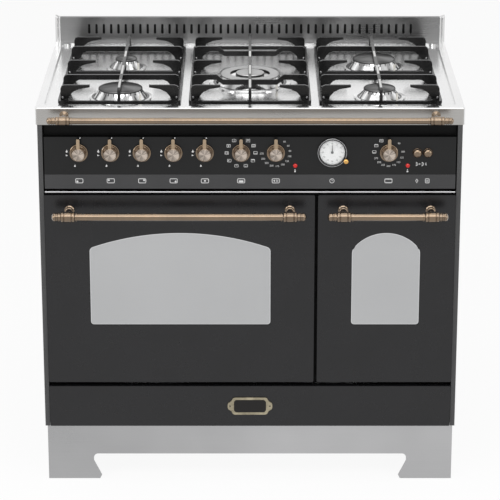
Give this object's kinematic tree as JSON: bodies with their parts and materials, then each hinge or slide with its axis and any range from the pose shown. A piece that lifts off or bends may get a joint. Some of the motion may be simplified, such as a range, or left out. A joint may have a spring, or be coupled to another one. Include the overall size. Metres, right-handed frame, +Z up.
{
  "type": "cooking stove",
  "caption": "Freestanding gas range cooker with a wide hob, pan supports, rotary controls, a clock, a large and a small oven with drop-down glazed doors, a storage drawer and an arched plinth.",
  "frame": {"origin": "centre of the bounding box's underside, on the floor", "axes": "X to the right seen from the front, Y towards the rear wall, Z up"},
  "size_m": [0.9, 0.6654, 0.912],
  "materials": {
    "black_enamel": "satin black vitreous enamel on sheet steel",
    "side_paint": "grey-black paint on sheet steel",
    "hob_steel": "finely brushed stainless steel",
    "zinc_steel": "zinc-coated sheet steel",
    "trim_chrome": "polished chrome",
    "oven_enamel": "glossy dark enamel",
    "mineral_wool": "pressed mineral wool",
    "seal_rubber": "silicone rubber",
    "rack_chrome": "chromed steel wire",
    "element_steel": "oxidised heating tube",
    "fan_aluminium": "pressed aluminium",
    "lamp_glass": "clear lamp glass",
    "door_glass": "grey reflective glass",
    "bronze": "polished copper-bronze plate",
    "badge_metal": "darkened brass",
    "gas_brass": "plain brass",
    "switch_plastic": "heat-proof plastic",
    "pilot_red": "clear red plastic",
    "clock_black": "black plastic ring round a white dial",
    "hand_black": "black paint on brass",
    "burner_aluminium": "polished aluminium",
    "cap_enamel": "satin dark enamel",
    "electrode_ceramic": "white ceramic",
    "iron": "satin black enamel on cast iron"
  },
  "bodies": {
    "cooker": {"base_tray": "zinc_steel", "burner_bases": "burner_aluminium", "burner_caps": "cap_enamel", "burner_heads": "burner_aluminium", "clock_case": "clock_black", "control_panel": "black_enamel", "control_switches": "switch_plastic", "door_hinges": "zinc_steel", "drawer_runners": "zinc_steel", "fan_cover": "oven_enamel", "fan_motor": "zinc_steel", "front_frame": "zinc_steel", "gas_manifold": "gas_brass", "heating_elements": "element_steel", "hob_tray": "hob_steel", "levelling_feet": "zinc_steel", "main_oven_cavity": "oven_enamel", "oven_door_seals": "seal_rubber", "oven_insulation": "mineral_wool", "oven_lamps": "lamp_glass", "oven_shelves": "rack_chrome", "pilot_lamps": "pilot_red", "plinth": "hob_steel", "rear_panel": "zinc_steel", "shelf_supports": "rack_chrome", "side_panel_left": "side_paint", "side_panel_right": "side_paint", "small_oven_cavity": "oven_enamel", "spark_electrodes": "electrode_ceramic", "splashback": "hob_steel", "towel_rail": "bronze", "trim_strip": "trim_chrome"},
    "main_door": {"main_door_panel": "black_enamel", "main_door_glass": "door_glass", "main_door_inner_frame": "oven_enamel", "main_door_handle": "bronze"},
    "small_door": {"small_door_panel": "black_enamel", "small_door_glass": "door_glass", "small_door_inner_frame": "oven_enamel", "small_door_handle": "bronze"},
    "drawer": {"drawer_front": "black_enamel", "drawer_box": "zinc_steel", "badge_plate": "badge_metal"},
    "gas_knob_left_front": {"gas_knob_left_front": "bronze"},
    "gas_knob_left_rear": {"gas_knob_left_rear": "bronze"},
    "gas_knob_right_rear": {"gas_knob_right_rear": "bronze"},
    "gas_knob_right_front": {"gas_knob_right_front": "bronze"},
    "gas_knob_centre": {"gas_knob_centre": "bronze"},
    "oven_function_knob": {"oven_function_knob": "bronze"},
    "thermostat_knob": {"thermostat_knob": "bronze"},
    "small_oven_knob": {"small_oven_knob": "bronze"},
    "clock_minute_hand": {"clock_minute_hand": "hand_black"},
    "clock_hour_hand": {"clock_hour_hand": "hand_black"},
    "clock_set_knob": {"clock_set_knob": "bronze"},
    "ignition_button": {"ignition_button": "bronze"},
    "light_button": {"light_button": "bronze"},
    "convection_fan": {"convection_fan": "fan_aluminium"},
    "pan_support_left": {"pan_support_left": "iron"},
    "pan_support_centre": {"pan_support_centre": "iron"},
    "pan_support_right": {"pan_support_right": "iron"}
  },
  "joints": [
    {"name": "main_door_hinge", "type": "hinge", "parent": "cooker", "child": "main_door", "pos_m": [0, -0.25925, 0.246], "axis": [1, 0, 0], "range_deg": [0, 90]},
    {"name": "small_door_hinge", "type": "hinge", "parent": "cooker", "child": "small_door", "pos_m": [0, -0.25925, 0.246], "axis": [1, 0, 0], "range_deg": [0, 90]},
    {"name": "drawer_slide", "type": "slide", "parent": "cooker", "child": "drawer", "axis": [0, -1, 0], "range_m": [0, 0.34]},
    {"name": "gas_knob_left_front_turn", "type": "hinge", "parent": "cooker", "child": "gas_knob_left_front", "pos_m": [-0.35991, -0.26725, 0.753], "axis": [0, -1, 0], "range_deg": [0, 210]},
    {"name": "gas_knob_left_rear_turn", "type": "hinge", "parent": "cooker", "child": "gas_knob_left_rear", "pos_m": [-0.29357, -0.26725, 0.753], "axis": [0, -1, 0], "range_deg": [0, 210]},
    {"name": "gas_knob_right_rear_turn", "type": "hinge", "parent": "cooker", "child": "gas_knob_right_rear", "pos_m": [-0.22732, -0.26725, 0.753], "axis": [0, -1, 0], "range_deg": [0, 210]},
    {"name": "gas_knob_right_front_turn", "type": "hinge", "parent": "cooker", "child": "gas_knob_right_front", "pos_m": [-0.16099, -0.26725, 0.753], "axis": [0, -1, 0], "range_deg": [0, 210]},
    {"name": "gas_knob_centre_turn", "type": "hinge", "parent": "cooker", "child": "gas_knob_centre", "pos_m": [-0.095, -0.26725, 0.753], "axis": [0, -1, 0], "range_deg": [0, 210]},
    {"name": "oven_function_knob_turn", "type": "hinge", "parent": "cooker", "child": "oven_function_knob", "pos_m": [-0.01871, -0.26725, 0.753], "axis": [0, 1, 0], "range_deg": [0, 300]},
    {"name": "thermostat_knob_turn", "type": "hinge", "parent": "cooker", "child": "thermostat_knob", "pos_m": [0.05439, -0.26725, 0.753], "axis": [0, 1, 0], "range_deg": [0, 270]},
    {"name": "small_oven_knob_turn", "type": "hinge", "parent": "cooker", "child": "small_oven_knob", "pos_m": [0.29189, -0.26725, 0.753], "axis": [0, 1, 0], "range_deg": [0, 300]},
    {"name": "minute_hand_turn", "type": "hinge", "parent": "cooker", "child": "clock_minute_hand", "pos_m": [0.17281, -0.26725, 0.754], "axis": [0, 1, 0], "continuous": true},
    {"name": "hour_hand_turn", "type": "hinge", "parent": "cooker", "child": "clock_hour_hand", "pos_m": [0.17281, -0.26725, 0.754], "axis": [0, 1, 0], "continuous": true},
    {"name": "clock_set_knob_turn", "type": "hinge", "parent": "cooker", "child": "clock_set_knob", "pos_m": [0.20171, -0.26725, 0.7366], "axis": [0, 1, 0], "continuous": true},
    {"name": "ignition_button_press", "type": "slide", "parent": "cooker", "child": "ignition_button", "axis": [0, 1, 0], "range_m": [0, 0.003], "stiffness_N_per_m": 400},
    {"name": "light_button_press", "type": "slide", "parent": "cooker", "child": "light_button", "axis": [0, 1, 0], "range_m": [0, 0.003], "stiffness_N_per_m": 400},
    {"name": "fan_turn", "type": "hinge", "parent": "cooker", "child": "convection_fan", "pos_m": [-0.14885, 0.19595, 0.4542], "axis": [0, 1, 0], "continuous": true},
    {"name": "pan_support_left_lift", "type": "slide", "parent": "cooker", "child": "pan_support_left", "axis": [0, 0, 1], "range_m": [0, 0.06]},
    {"name": "pan_support_centre_lift", "type": "slide", "parent": "cooker", "child": "pan_support_centre", "axis": [0, 0, 1], "range_m": [0, 0.06]},
    {"name": "pan_support_right_lift", "type": "slide", "parent": "cooker", "child": "pan_support_right", "axis": [0, 0, 1], "range_m": [0, 0.06]}
  ],
  "couplings": [
    {"joint": "hour_hand_turn", "follows": "minute_hand_turn", "ratio": 0.083333}
  ]
}
